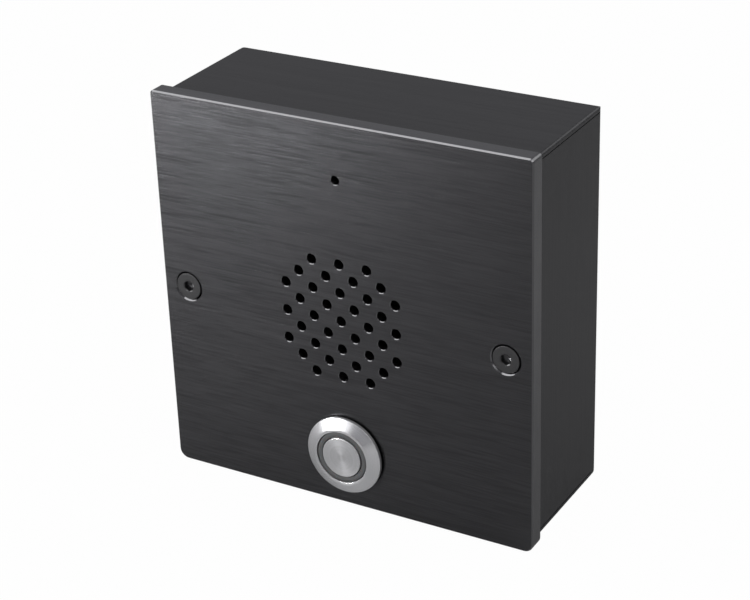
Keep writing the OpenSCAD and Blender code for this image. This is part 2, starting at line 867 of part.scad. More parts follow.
module button_cap() {
    color("#b8b8b6") at_button() rotate_extrude() polygon([
        [0, cap_under], [cap_r, cap_under], [cap_r, head_top - cap_edge], [cap_r - cap_edge, head_top],
        [0, head_top]
    ]);
}

module button_stem() {
    color("#d8d5cc") at_button() translate([0, 0, bridge_top])
        cylinder(r = stem_r, h = cap_under - bridge_top);
}

module return_spring() {
    coil_r = (spring_d - spring_wire) / 2;
    steps = 8;
    start = pocket_floor + spring_wire / 2 + seat_gap;
    rise = cap_under - spring_wire - 2 * seat_gap - pocket_floor;
    count = spring_turns * steps;
    path = [for (i = [0 : count])
        [coil_r * cos(360 * i / steps), coil_r * sin(360 * i / steps), start + rise * i / count]];
    color("#c4c6c8") at_button() tube(path, spring_wire, lead_sides, [1, 0, 0]);
}

module at_lamp_pins() {
    for (y = [-pin_place, pin_place]) translate([0, y, 0]) children();
}

module switch_guide() {
    stem_bore = stem_r + run_gap;
    guide_r = bore_r - seat_gap;
    color("#2c2d30") at_button() difference() {
        rotate_extrude() polygon([
            [stem_bore, barrel_end], [guide_r, barrel_end], [guide_r, guide_top], [pocket_r, guide_top],
            [pocket_r, pocket_floor], [stem_bore, pocket_floor]
        ]);
        at_lamp_pins() translate([0, 0, barrel_end - over])
            cylinder(r = pin_r + seat_gap, h = guide_top - barrel_end + 2 * over);
    }
}

module lamp_board() {
    color("#2f6b46") at_button() translate([0, 0, guide_top])
        ring(bore_r - seat_gap, pocket_r, lamp_board_t);
}

module lamps() {
    color("#f1ead2") at_button() translate([0, 0, guide_top + lamp_board_t])
        for (turn = [45 : 90 : 315])
            rotate(turn) translate([lamp_r, 0, 0]) block([lamp_size, lamp_size, lamp_h]);
}

module lamp_pins() {
    color("#c9c9c7") at_button() at_lamp_pins() translate([0, 0, blade_end])
        cylinder(r = pin_r, h = guide_top - blade_end);
}

module contact_bridge() {
    color("#c8963e") at_button() translate([0, 0, bridge_top - contact_t])
        block([bridge_size[0], bridge_size[1], contact_t]);
}

module contact_blades() {
    color("#d0a94c") at_button() for (x = [-blade_x, blade_x]) translate([x, 0, 0]) {
        translate([0, 0, pad_top - contact_t]) block([pad_size[0], pad_size[1], contact_t]);
        translate([0, 0, blade_end]) block([contact_t, pad_size[1], pad_top - contact_t / 2 - blade_end]);
    }
}

module switch_base() {
    slot = [contact_t + 2 * seat_gap, pad_size[1] + 2 * seat_gap, base_wall + 2 * over];
    color("#26272a") at_button() difference() {
        translate([0, 0, base_end]) cylinder(r = barrel_r, h = base_h);
        translate([0, 0, base_end + base_wall]) cylinder(r = barrel_r - base_wall, h = base_h);
        for (x = [-blade_x, blade_x]) translate([x, 0, base_end - over]) block(slot);
        at_lamp_pins() translate([0, 0, base_end - over]) cylinder(r = pin_r + seat_gap, h = slot[2]);
    }
}

module lock_washer() {
    outer = barrel_r + lock_washer_w;
    notches = 16;
    notch_d = 1.6;
    color("#a9abad") at_button() translate([0, 0, -plate_t - lock_washer_t]) difference() {
        ring(outer, barrel_r + panel_gap, lock_washer_t);
        for (k = [1 : notches])
            rotate(360 * k / notches) translate([outer, 0, -over])
                cylinder(d = notch_d, h = lock_washer_t + 2 * over);
    }
}

module button_nut() {
    color("#b4b6b8") at_button() translate([0, 0, -plate_t - lock_washer_t - button_nut_t]) difference() {
        cylinder(d = button_nut_af / cos(30), h = button_nut_t, $fn = 6);
        translate([0, 0, -over]) cylinder(r = barrel_r + seat_gap, h = button_nut_t + 2 * over);
    }
}

// Circuit board

module circuit_board() {
    hole_r = 1.6;
    color("#1f5a3a") difference() {
        from_back(0, board_rise) translate([0, 0, standoff_h]) block([board_w, board_h, board_t]);
        at_board_screws() translate([0, 0, standoff_h - over]) cylinder(r = hole_r, h = board_t + 2 * over);
    }
}

module board_standoffs() {
    tap_r = 1.55;
    color("#b9b7ae") at_board_screws() difference() {
        cylinder(d = standoff_d, h = standoff_h);
        translate([0, 0, over]) cylinder(r = tap_r, h = standoff_h);
    }
}

module board_screws() {
    shank_r = 1.5;
    shank_len = 5;
    head_r = 2.7;
    head_h = 1.9;
    cross_size = [3, 0.7, head_h];
    color("#a7a9ab") at_board_screws() translate([0, 0, board_level]) difference() {
        union() {
            translate([0, 0, -shank_len]) cylinder(r = shank_r, h = shank_len);
            cylinder(r = head_r, h = head_h);
        }
        for (turn = [0, 90]) rotate(turn) translate([0, 0, head_h / 2]) block(cross_size);
    }
}

module network_jack() {
    size = jack_size;
    color("#a4a6a8") on_board(jack_x, board_foot - jack_overhang + size[1] / 2) difference() {
        block(size);
        translate([0, (port_size[1] - size[1]) / 2 - over, (size[2] - port_size[2]) / 2])
            block([port_size[0], port_size[1] + 2 * over, port_size[2]]);
    }
}

function block_pitch() = block_size[0] / block_ways;

module at_block_ways() {
    for (k = [0 : block_ways - 1])
        translate([(k + 0.5) * block_pitch() - block_size[0] / 2, 0, 0]) children();
}

module terminal_block() {
    entry_d = 2.6;
    entry_level = 3;
    entry_depth = 2;
    well_d = 3.2;
    size = block_size;
    color("#3e7a4d") on_board(block_x, board_foot + size[1] / 2) difference() {
        block(size);
        at_block_ways() {
            translate([0, 0, size[2] - well_depth]) cylinder(d = well_d, h = well_depth + over);
            translate([0, entry_depth - size[1] / 2, entry_level]) rotate([90, 0, 0])
                cylinder(d = entry_d, h = entry_depth + over);
        }
    }
}

module terminal_screws() {
    head_d = 3;
    head_h = 2;
    slot_w = 0.6;
    color("#b4b6b8") on_board(block_x, board_foot + block_size[1] / 2) at_block_ways()
        translate([0, 0, block_size[2] - well_depth]) difference() {
            cylinder(d = head_d, h = head_h);
            translate([0, 0, head_h / 2]) block([head_d + over, slot_w, head_h]);
        }
}

module capacitors() {
    crimp_level = 1.6;
    crimp_h = 0.8;
    crimp = 0.35;
    color("#23344f") for (place = can_places) on_board(place[0], place[1]) difference() {
        cylinder(d = can_d, h = can_h);
        translate([0, 0, crimp_level]) difference() {
            cylinder(d = can_d + over, h = crimp_h);
            translate([0, 0, -over]) cylinder(d = can_d - 2 * crimp, h = crimp_h + 2 * over);
        }
    }
}

module transformer() {
    flange_t = 1.5;
    waist = 1;
    size = transformer_size;
    color("#38363a") on_board(transformer_place[0], transformer_place[1]) {
        block([size[0], size[1], flange_t]);
        block([size[0] - 2 * waist, size[1] - 2 * waist, size[2]]);
        translate([0, 0, size[2] - flange_t]) block([size[0], size[1], flange_t]);
    }
}

module chips() {
    color("#1a1a1c") for (k = [0 : len(chip_places) - 1])
        on_board(chip_places[k][0], chip_places[k][1]) block(chip_sizes[k]);
}

module lead_headers() {
    color("#e7e3d6") {
        on_board(mic_header_x, mic_header_z) block([mic_header_size[0], mic_header_size[1], header_h]);
        on_board(0, board_foot + button_header_size[1] / 2)
            block([button_header_size[0], button_header_size[1], header_h]);
        on_board(board_right - speaker_header_size[0] / 2, speaker_header_z)
            block([speaker_header_size[0], speaker_header_size[1], header_h]);
    }
}

// Leads. Each end leaves its piece square to the face.

module speaker_leads() {
    tag_y = -total_d + speaker_front + basket_t + tag_board_size[2] + tag_size[2] / 2;
    tag_end = tag_x + tag_size[0];
    end_y = board_face_y - header_h / 2;
    color("#7d2420") for (side = [-1, 1]) {
        start = [tag_end, tag_y, side * tag_spread];
        finish = [board_right, end_y, speaker_header_z + side * header_pitch / 2];
        between = [for (k = [0, 1]) speaker_lead_route[k] + [0, 0, side * speaker_lead_spread[k]]];
        lead(concat([start, start + [speaker_lead_ends[0], 0, 0]], between,
                    [finish + [speaker_lead_ends[1], 0, 0], finish]), [0, 0.2, 1]);
    }
}

module mic_leads() {
    start_y = -total_d + plate_t + boot_floor + mic_h;
    end_y = board_face_y - header_h;
    color("#33343a") for (side = [-1, 1]) {
        start = [side * header_pitch / 2, start_y, mic_rise];
        finish = [mic_header_x + side * header_pitch / 2, end_y, mic_header_z];
        lead([start, start + [0, mic_lead_end, 0], finish - [0, mic_lead_end, 0], finish]);
    }
}

module button_leads() {
    start_y = -total_d - blade_end;
    end_y = board_face_y - header_h / 2;
    starts = [[-blade_x, 0], [0, -pin_place], [0, pin_place], [blade_x, 0]];
    color("#2e4d7a") for (k = [0 : 3]) {
        across = button_lead_places[k];
        start = [starts[k][0], start_y, starts[k][1] - button_drop];
        finish = [across, end_y, board_foot];
        between = [for (i = [0, 1]) concat([button_lead_fan[i] * across], button_lead_route[i])
                                    + [0, 0, i == 0 ? starts[k][1] : 0]];
        lead(concat([start, start + [0, button_lead_ends[0], 0]], between,
                    [finish - [0, 0, button_lead_ends[1]], finish]));
    }
}

front_plate();
back_box();
plate_gasket();
fixing_brackets();
panel_screws();
cable_bush();
acoustic_cloth();
speaker_seal();
speaker_basket();
speaker_surround();
speaker_cone();
dust_cap();
voice_coil();
speaker_spider();
top_plate();
magnet();
yoke();
tag_board();
speaker_tags();
speaker_studs();
speaker_clamps();
clamp_nuts();
mic_boot();
mic_capsule();
button_bush();
bezel_seal();
light_ring();
button_cap();
button_stem();
return_spring();
switch_guide();
lamp_board();
lamps();
lamp_pins();
contact_bridge();
contact_blades();
switch_base();
lock_washer();
button_nut();
circuit_board();
board_standoffs();
board_screws();
network_jack();
terminal_block();
terminal_screws();
capacitors();
transformer();
chips();
lead_headers();
speaker_leads();
mic_leads();
button_leads();
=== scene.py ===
import math

import bmesh
import bpy
from mathutils import Matrix, Vector


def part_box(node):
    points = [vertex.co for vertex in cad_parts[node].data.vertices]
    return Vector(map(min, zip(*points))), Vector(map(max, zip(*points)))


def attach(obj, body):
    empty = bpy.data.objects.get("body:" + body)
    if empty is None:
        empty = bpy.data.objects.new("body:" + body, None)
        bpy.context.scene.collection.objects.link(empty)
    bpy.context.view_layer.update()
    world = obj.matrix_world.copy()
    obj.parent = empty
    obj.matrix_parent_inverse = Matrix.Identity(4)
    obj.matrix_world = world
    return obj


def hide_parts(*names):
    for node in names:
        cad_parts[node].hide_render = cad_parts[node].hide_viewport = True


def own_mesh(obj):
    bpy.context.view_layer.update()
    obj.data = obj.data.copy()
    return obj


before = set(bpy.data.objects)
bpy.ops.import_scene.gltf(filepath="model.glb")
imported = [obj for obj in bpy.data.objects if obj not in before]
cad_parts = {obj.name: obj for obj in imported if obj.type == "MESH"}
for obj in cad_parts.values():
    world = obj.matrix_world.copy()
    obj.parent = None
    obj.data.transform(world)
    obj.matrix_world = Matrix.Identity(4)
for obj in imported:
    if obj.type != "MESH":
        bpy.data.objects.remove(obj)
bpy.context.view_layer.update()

# Camera: a long lens to the right of the panel and above it, turned a little about its own axis.
# It frames the panel with no shift and no blur.
lens = bpy.data.cameras.new("camera")
lens.lens = 98.8071
lens.sensor_width = 36
lens.clip_start = 0.02
camera = bpy.data.objects.new("camera", lens)
camera.location = (0.273248, -0.490746, 0.265598)
camera.rotation_euler = [math.radians(angle) for angle in (63.5471, 1.8165, 29.6258)]
bpy.context.collection.objects.link(camera)
bpy.context.scene.camera = camera
bpy.context.scene.view_settings.view_transform = "Standard"


# Back box: one sheet of aluminium, cut out, folded up on four sides and dyed black.
# The rolling grain runs up the sides and the back, and from side to side on the top and bottom.
# The top and bottom walls cover the ends of the side walls, with a narrow open seam along each edge.
class Wire:
    """A socket among a finish's nodes. A sum written with wires adds the Math nodes for it."""

    def __init__(self, tree, socket=None):
        self.tree = tree
        self.socket = socket

    def node(self, kind, settings=None, values=None, out=0):
        """Adds a node, sets it up, feeds its sockets with numbers or wires and gives one output."""
        added = self.tree.nodes.new("ShaderNode" + kind)
        for setting, value in (settings or {}).items():
            setattr(added, setting, value)
        for socket, value in (values or {}).items():
            if isinstance(value, Wire):
                self.tree.links.new(value.socket, added.inputs[socket])
            else:
                added.inputs[socket].default_value = value
        return Wire(self.tree, added.outputs[out]) if len(added.outputs) else None

    def sum(self, operation, first, second=0.0):
        """One Math node on numbers or wires."""
        return self.node("Math", {"operation": operation}, {0: first, 1: second})

    def __add__(self, other):
        return self.sum("ADD", self, other)

    def __radd__(self, other):
        return self.sum("ADD", other, self)

    def __sub__(self, other):
        return self.sum("SUBTRACT", self, other)

    def __rsub__(self, other):
        return self.sum("SUBTRACT", other, self)

    def __mul__(self, other):
        return self.sum("MULTIPLY", self, other)

    def __rmul__(self, other):
        return self.sum("MULTIPLY", other, self)

    def __abs__(self):
        return self.sum("ABSOLUTE", self)

    def over(self, low, high):
        """0 below low, 1 above high and smooth between."""
        limits = {"Value": self, "From Min": low, "From Max": high}
        return self.node("MapRange", {"interpolation_type": "SMOOTHSTEP"}, limits)

    def mix(self, low, high):
        """The colour low where this is 0 and high where it is 1."""
        return self.node("Mix", {"data_type": "RGBA"}, {0: self, 6: low, 7: high}, 2)

    def part(self, axis):
        """The X, Y or Z of a place or a facing."""
        return self.node("SeparateXYZ", {}, {0: self}, axis)

    def grain(self, per_metre, detail=2.0, rough=0.5):
        """Noise on a place, with so many grains to the metre along X, Y and Z."""
        place = self.node("VectorMath", {"operation": "MULTIPLY"}, {0: self, 1: per_metre})
        values = {"Vector": place, "Scale": 1.0, "Detail": detail, "Roughness": rough}
        return self.node("TexNoise", {}, values, "Fac")

    def relief(self, depth):
        """Bump of this height times depth in metres."""
        return self.node("Bump", {}, {"Height": self, "Distance": depth, "Strength": 1.0})


def new_finish(name):
    """A finish with no shader yet, and the places on the piece that wears it."""
    finish = bpy.data.materials.new(name)
    finish.use_nodes = True
    finish.node_tree.nodes.clear()
    return finish, Wire(finish.node_tree).node("TexCoord", out="Object")


def coat(place, **sockets):
    """Closes a finish with one shader. Socket names are written with underscores for spaces."""
    values = {name.replace("_", " "): value for name, value in sockets.items()}
    shader = place.node("BsdfPrincipled", {}, values)
    place.node("OutputMaterial", {}, {"Surface": shader})


def dress(finish, *nodes):
    """Gives CAD nodes a finish."""
    for node in nodes:
        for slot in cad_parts[node].material_slots:
            slot.material = finish


def grey(level, blue=1.03):
    """A grey with a trace of blue."""
    return (level, level, level * blue, 1.0)


box_black, place = new_finish("dyed_sheet_black")
facing = place.node("TexCoord", out="Normal")
on_top = abs(facing.part("Z")).over(0.6, 0.8)
up_grain = place.grain((1500, 1500, 22), 3, 0.6)
over_grain = place.grain((22, 1500, 1500), 3, 0.6)
roll_lines = (up_grain * (1 - on_top) + over_grain * on_top).over(0.30, 0.70)
cloudy = place.grain((55, 55, 55), 3)
fine = place.grain((9000, 9000, 9000), 1)
coat(
    place,
    Base_Color=(roll_lines * 0.8 + cloudy * 0.2).mix(grey(0.001), grey(0.016)),
    Roughness=0.30 + roll_lines * 0.10 + cloudy * 0.06,
    Specular_IOR_Level=0.41,
    Specular_Tint=(0.95, 0.95, 1.0, 1.0),
    Normal=(roll_lines + fine * 0.3).relief(2.5e-6),
)
dress(box_black, "back_box")


# Corner welds: two of the box's rear corners are filled with weld, ground to a round and dyed with the
# sheet. Each fills the notch that frees the bends there, and hides its end.
def add_mesh(name, points, faces, smooth_angle=0.6):
    """A piece from its points and faces, shaded smooth up to the given angle between faces."""
    mesh = bpy.data.meshes.new(name)
    mesh.from_pydata(points, [], faces)
    work = bmesh.new()
    work.from_mesh(mesh)
    bmesh.ops.recalc_face_normals(work, faces=work.faces)
    work.to_mesh(mesh)
    work.free()
    for face in mesh.polygons:
        face.use_smooth = True
    mesh.set_sharp_from_angle(angle=smooth_angle)
    piece = bpy.data.objects.new(name, mesh)
    bpy.context.collection.objects.link(piece)
    return piece


def fit(piece, finish, slot, body, *nodes):
    """Gives a piece its finish, sets it on a body and has it stand for CAD nodes. The slot is not used."""
    piece.data.materials.append(finish)
    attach(piece, body)
    if nodes:
        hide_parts(*nodes)


box_low, box_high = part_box("back_box")
corner_r, bend_r, edge_r = 0.0038, 0.0017, 0.0008
sheet_t, weld_deep, weld_sunk = 0.0015, 0.0039, 1e-5
columns, rows, shoulder_rows = 14, 8, 6
blunt_tip = 0.06


def fall(radius, past):
    """How far an edge of this radius has fallen away, so far past its start."""
    return radius - math.sqrt(radius ** 2 - min(max(past, 0), radius) ** 2)


def corner_weld(name, spot):
    """A quarter disc with a sloping shoulder that spreads to the bend below it. Spot gives the place of a
    point from its distances along the wall, in from the rear and below the wall's outer face."""
    points, faces = [], []
    for column in range(columns + 1):
        turn = math.pi / 2 * (blunt_tip + (1 - blunt_tip) * column / columns)
        across, deep = 1 - math.cos(turn), 1 - math.sin(turn)
        path = []
        for row in range(rows + 1):
            path.append((corner_r * across, corner_r * (1 - math.sin(turn) * row / rows), 0))
        for row in range(1, shoulder_rows + 1):
            share = row / shoulder_rows
            reach = corner_r - (corner_r - bend_r) * share
            path.append((reach * across, reach * deep, sheet_t * share))
        for along, inward, drop in path:
            sunk = max(fall(edge_r, edge_r - along), fall(bend_r, bend_r - inward), drop)
            points.append(spot(along + weld_sunk, inward + weld_sunk, sunk + weld_sunk))
            points.append(spot(along + weld_sunk, inward + weld_sunk, weld_deep))
    last = rows + shoulder_rows
    step = 2 * (last + 1)
    for column in range(columns):
        for row in range(last):
            corner = column * step + row * 2
            face = [corner, corner + 2, corner + step + 2, corner + step]
            faces.append(face)
            faces.append([number + 1 for number in face])
        for corner in (column * step, column * step + 2 * last):
            faces.append([corner, corner + 1, corner + step + 1, corner + step])
    for row in range(last):
        for corner in (row * 2, columns * step + row * 2):
            faces.append([corner, corner + 1, corner + 3, corner + 2])
    fit(add_mesh(name, points, faces), box_black, "box_black", "panel")


corner_weld("upper_corner_weld", lambda along, inward, sunk: (
    box_low.x + along, box_high.y - inward, box_high.z - sunk))
corner_weld("lower_corner_weld", lambda along, inward, sunk: (
    box_high.x - sunk, box_high.y - inward, box_low.z + along))

# Cable bush: a black rubber sleeve pressed into the cable hole of the back panel, with a wide inside
# flange. Moulded, so its face has a dull fine grain and a bloom of paler dust in places.
rubber_black, place = new_finish("moulded_rubber_black")
moulded = place.grain((2600, 2600, 2600), 3)
bloom = place.grain((160, 160, 160), 4)
coat(
    place,
    Base_Color=(bloom * 0.7 + moulded * 0.3).mix(grey(0.010), grey(0.024)),
    Roughness=0.62 + moulded * 0.16,
    Specular_IOR_Level=0.4,
    Normal=moulded.relief(1.5e-5),
)
dress(rubber_black, "cable_bush")

# Fixing brackets: two angles of zinc-plated steel, riveted inside the side walls, each with a tapped
# collar that takes a plate screw. The plating has a pale mottle and fine drawing lines.
zinc_plated, place = new_finish("zinc_plated_steel")
spangle = place.grain((900, 900, 900), 2)
drawn = place.grain((300, 6000, 6000), 2)
coat(
    place,
    Base_Color=spangle.mix((0.46, 0.47, 0.48, 1), (0.60, 0.61, 0.62, 1)),
    Metallic=1.0,
    Roughness=0.28 + spangle * 0.14 + drawn * 0.06,
    Normal=(spangle * 0.6 + drawn * 0.4).relief(3e-6),
)
dress(zinc_plated, "fixing_brackets")

# Circuit board: glass cloth and resin under green solder mask, on four tapped standoffs held by small
# pan screws. Copper tracks stand a little proud under the mask and show as paler green.
board_green, place = new_finish("solder_mask_green")
tracks = place.node("TexBrick", {"offset": 0.35}, {
    "Vector": place.node("CombineXYZ", {}, {0: place.part("X"), 1: place.part("Z")}),
    "Color1": (1, 1, 1, 1), "Color2": (0.7, 0.7, 0.7, 1), "Mortar": (0, 0, 0, 1),
    "Scale": 260.0, "Mortar Size": 0.18, "Brick Width": 0.9, "Row Height": 0.45,
}, "Fac")
glass_weave = place.grain((1800, 1800, 1800), 2)
coat(
    place,
    Base_Color=(tracks * 0.6 + glass_weave * 0.4).mix((0.010, 0.085, 0.036, 1), (0.026, 0.150, 0.062, 1)),
    Roughness=0.24 + glass_weave * 0.14,
    Normal=(tracks * 0.7 + glass_weave * 0.1).relief(2e-5),
)
dress(board_green, "circuit_board")
dress(zinc_plated, "board_screws")

# Standoffs and the shell of the network jack: tinned brass and tinned sheet, soft white metal with
# faint flow marks. The standoffs are turned and tapped, and the shell is folded.
tinned, place = new_finish("tinned_metal")
flow = place.grain((700, 700, 700), 3)
coat(
    place,
    Base_Color=flow.mix((0.55, 0.55, 0.53, 1), (0.70, 0.69, 0.67, 1)),
    Metallic=1.0,
    Roughness=0.22 + flow * 0.20,
    Normal=flow.relief(8e-6),
)
dress(tinned, "board_standoffs", "network_jack")


# Terminal block: a green nylon moulding with four wire entries, and a plated screw down each well.
# It sits on the board and takes the wires that come in through the cable bush.
def moulded_finish(name, dark, pale, rough):
    """Moulded plastic: a fine spark texture from the tool and slow changes of shade."""
    finish, place = new_finish(name)
    spark = place.grain((3200, 3200, 3200), 3)
    shade = place.grain((120, 120, 120), 2)
    coat(
        place,
        Base_Color=(spark * 0.5 + shade * 0.5).mix(dark, pale),
        Roughness=rough + spark * 0.14,
        Normal=spark.relief(8e-6),
    )
    return finish


block_green = moulded_finish("nylon_green", (0.020, 0.125, 0.045, 1), (0.045, 0.205, 0.080, 1), 0.40)
dress(block_green, "terminal_block")
dress(zinc_plated, "terminal_screws")

# Board components: two cans in blue shrink sleeve, a line transformer and chips in black epoxy, and
# white headers for the leads.
black_plastic = moulded_finish("moulded_plastic_black", grey(0.012), grey(0.024), 0.42)
pale_plastic = moulded_finish("moulded_plastic_pale", (0.60, 0.58, 0.52, 1), (0.72, 0.70, 0.64, 1), 0.40)
can_sleeve = moulded_finish("shrink_sleeve_blue", (0.012, 0.045, 0.165, 1), (0.024, 0.075, 0.240, 1), 0.22)
dress(black_plastic, "transformer", "chips")
dress(pale_plastic, "lead_headers")
dress(can_sleeve, "capacitors")

# Front plate: a square of thick aluminium, brushed from side to side, drilled, chamfered and then dyed
# black. The brush lines are fine and a little wavy, and the cut chamfers are smoother than the face.
plate_black, place = new_finish("brushed_plate_black")
facing = place.node("TexCoord", out="Normal")
front = (facing.part("Y") * -1).over(0.90, 0.98)
chamfer = (facing.part("Y") * -1).over(0.35, 0.6) * (1 - front)
brush_sway = 0.0012
height = place.part("Z") + place.grain((26, 26, 26), 2) * brush_sway
wavy_place = place.node("CombineXYZ", {}, {0: place.part("X"), 1: place.part("Y"), 2: height})
hair_lines = wavy_place.grain((90, 4200, 4200), 1, 0.5).over(0.36, 0.60)
broad_lines = wavy_place.grain((36, 1900, 1900), 2, 0.6).over(0.30, 0.70)
brushed = hair_lines * 0.65 + broad_lines * 0.35
mill_marks = place.grain((5000, 300, 120), 2)
face_tone = brushed.mix(grey(0.053, 1.05), grey(0.071, 1.05))
side_tone = mill_marks.mix(grey(0.125, 1.03), grey(0.165, 1.03))
coat(
    place,
    Base_Color=front.mix(side_tone, face_tone),
    Metallic=1.0,
    Roughness=0.200 + brushed * 0.03 * front + (1 - front) * (0.04 - chamfer * 0.10),
    Anisotropic=0.64,
    Anisotropic_Rotation=0.25,
    Normal=(brushed * front + mill_marks * (1 - front) * 0.15).relief(1.15e-5),
)
dress(plate_black, "front_plate")

# Acoustic cloth: a disc of black woven polyester, stretched and glued behind the sound holes to keep
# water and dust off the cone. Warp and weft cross at every half millimetre.
cloth_r = 0.0255
cloth_step = 0.00025
weave_pitch, weave_lift = 0.0005, 6e-5
cloth_half = 5e-5
cloth_low, cloth_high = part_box("acoustic_cloth")
cloth_middle = (cloth_low.y + cloth_high.y) / 2
drawn_in, left_out = cloth_r - cloth_step * 0.6, cloth_r + cloth_step * 0.7
count = math.ceil(cloth_r / cloth_step)
spots = {}
points = []
for i in range(-count, count + 1):
    for k in range(-count, count + 1):
        x, z = i * cloth_step, k * cloth_step
        reach = math.hypot(x, z)
        if reach > left_out:
            continue
        if reach > drawn_in:
            x, z = x * cloth_r / reach, z * cloth_r / reach
        lift = math.cos(math.pi * x / weave_pitch) * math.cos(math.pi * z / weave_pitch)
        spots[i, k] = len(points)
        points.append((x, cloth_middle - cloth_half - weave_lift * lift, z))
        points.append((x, cloth_middle + cloth_half - weave_lift * lift, z))
faces = []
edges = {}
for i, k in spots:
    ring = [(i, k), (i + 1, k), (i + 1, k + 1), (i, k + 1)]
    if not all(corner in spots for corner in ring):
        continue
    faces.append([spots[corner] for corner in ring])
    faces.append([spots[corner] + 1 for corner in reversed(ring)])
    for start, end in zip(ring, ring[1:] + ring[:1]):
        if (end, start) in edges:
            del edges[end, start]
        else:
            edges[start, end] = True
for start, end in edges:
    faces.append([spots[end], spots[start], spots[start] + 1, spots[end] + 1])
used = sorted({number for face in faces for number in face})
renumber = {old: new for new, old in enumerate(used)}
points = [points[number] for number in used]
faces = [[renumber[number] for number in face] for face in faces]
cloth = add_mesh("speaker_cloth", points, faces, smooth_angle=3.0)
woven_black, place = new_finish("woven_polyester_black")
threads = place.grain((4200, 4200, 4200), 2)
coat(
    place,
    Base_Color=threads.mix(grey(0.006), grey(0.018)),
    Roughness=0.72 + threads * 0.2,
    Sheen_Weight=0.1,
    Sheen_Roughness=0.5,
    Normal=threads.relief(1e-5),
)
fit(cloth, woven_black, "black_cloth", "panel", "acoustic_cloth")


# Speaker seal: a ring of closed-cell foam, punched from sheet, between the loudspeaker's rim and the
# cloth. The clamps squeeze it, so that no sound leaks round the cone.
def turned(name, rings, spot, steps=96, smooth_angle=0.6):
    """A turned piece from rings of radius and height, closed on the axis or back to its first ring.
    Its own Z axis comes out of the front of the panel at spot."""
    turns = [2 * math.pi * k / steps for k in range(steps)]
    points, rows = [], []
    for radius, level in rings:
        first = len(points)
        if radius == 0:
            rows.append([first] * steps)
            points.append((0.0, 0.0, level))
            continue
        rows.append(list(range(first, first + steps)))
        for turn in turns:
            reach = radius(turn) if callable(radius) else radius
            points.append((reach * math.cos(turn), reach * math.sin(turn), level))
    pairs = list(zip(rows, rows[1:]))
    if rings[0][0] != 0 and rings[-1][0] != 0:
        pairs.append((rows[-1], rows[0]))
    faces = []
    for low, high in pairs:
        for k in range(steps):
            after = (k + 1) % steps
            corners = dict.fromkeys([low[k], low[after], high[after], high[k]])
            if len(corners) > 2:
                faces.append(list(corners))
    piece = add_mesh(name, points, faces, smooth_angle)
    piece.location = spot
    piece.rotation_euler = (math.pi / 2, 0, 0)
    return piece


most_of_side, past_fillet = 0.4, 1.2


def rounded(corners, closed=True, steps=4):
    """Corners of a section as radius, level and fillet, with each fillet worked out. A point just past
    each end of a fillet keeps the faces between the fillets flat."""
    section = []
    for number, (radius, level, fillet) in enumerate(corners):
        end = not closed and number in (0, len(corners) - 1)
        if fillet == 0 or end:
            section.append((radius, level))
            continue
        corner = Vector((radius, level))
        before = Vector(corners[number - 1][:2])
        after = Vector(corners[(number + 1) % len(corners)][:2])
        back = (before - corner).normalized()
        on = (after - corner).normalized()
        half = back.angle(on) / 2
        room = min((before - corner).length, (after - corner).length)
        run = min(fillet / math.tan(half), room * most_of_side)
        bends = [corner + back * run * (1 - k / steps) ** 2 + on * run * (k / steps) ** 2
                 for k in range(steps + 1)]
        first, last = corner + back * run * past_fillet, corner + on * run * past_fillet
        section += [tuple(point) for point in [first, *bends, last]]
    return section


face_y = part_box("front_plate")[0].y
rim_deep = 0.0076
speaker_spot = (0, face_y + rim_deep, 0)
roll_t = 0.0003
rim_out = 0.0255
seal_in, seal_top, seal_fillet = 0.0225, 0.0023, 1e-4
seal = turned("speaker_foam_ring", rounded([
    (seal_in, roll_t, seal_fillet), (rim_out, roll_t, seal_fillet),
    (rim_out, seal_top, seal_fillet), (seal_in, seal_top, seal_fillet),
]), speaker_spot)
foam_black, place = new_finish("closed_cell_foam_black")
cells = place.node("TexVoronoi", {}, {"Vector": place, "Scale": 2400.0}, "Distance")
coat(
    place,
    Base_Color=cells.mix(grey(0.008), grey(0.022)),
    Roughness=0.80 + cells * 0.1,
    Specular_IOR_Level=0.3,
    Normal=cells.relief(4e-5),
)
fit(seal, foam_black, "black_rubber", "panel", "speaker_seal")

# Surround: a half roll of thin rubber, moulded with a flat edge on either side. The outer edge is glued
# to the basket's rim and the inner one to the cone, which it lets travel.
rim_inner = 0.0217
cone_r, cone_edge = 0.0189, 0.0012
roll_mid = (rim_inner + cone_r) / 2
roll_r = (rim_inner - cone_r) / 2
under_r = roll_r - roll_t
roll_steps = 16
half_turn = [math.pi * k / roll_steps for k in range(roll_steps + 1)]
roll = [(roll_mid + roll_r * math.cos(a), roll_r * math.sin(a)) for a in half_turn]
roll_under = [(roll_mid + under_r * math.cos(a), under_r * math.sin(a)) for a in reversed(half_turn)]
surround = turned(
    "rubber_roll",
    [(rim_out, 0), (rim_out, roll_t), (rim_inner, roll_t)]
    + [(reach, max(level, roll_t)) for reach, level in roll[1:-1]]
    + [(cone_r, roll_t), (cone_r - cone_edge, roll_t), (cone_r - cone_edge, 0), (cone_r + roll_t, 0)]
    + roll_under[1:-1] + [(rim_inner - roll_t, 0)],
    speaker_spot,
)
fit(surround, rubber_black, "black_rubber", "panel", "speaker_surround")

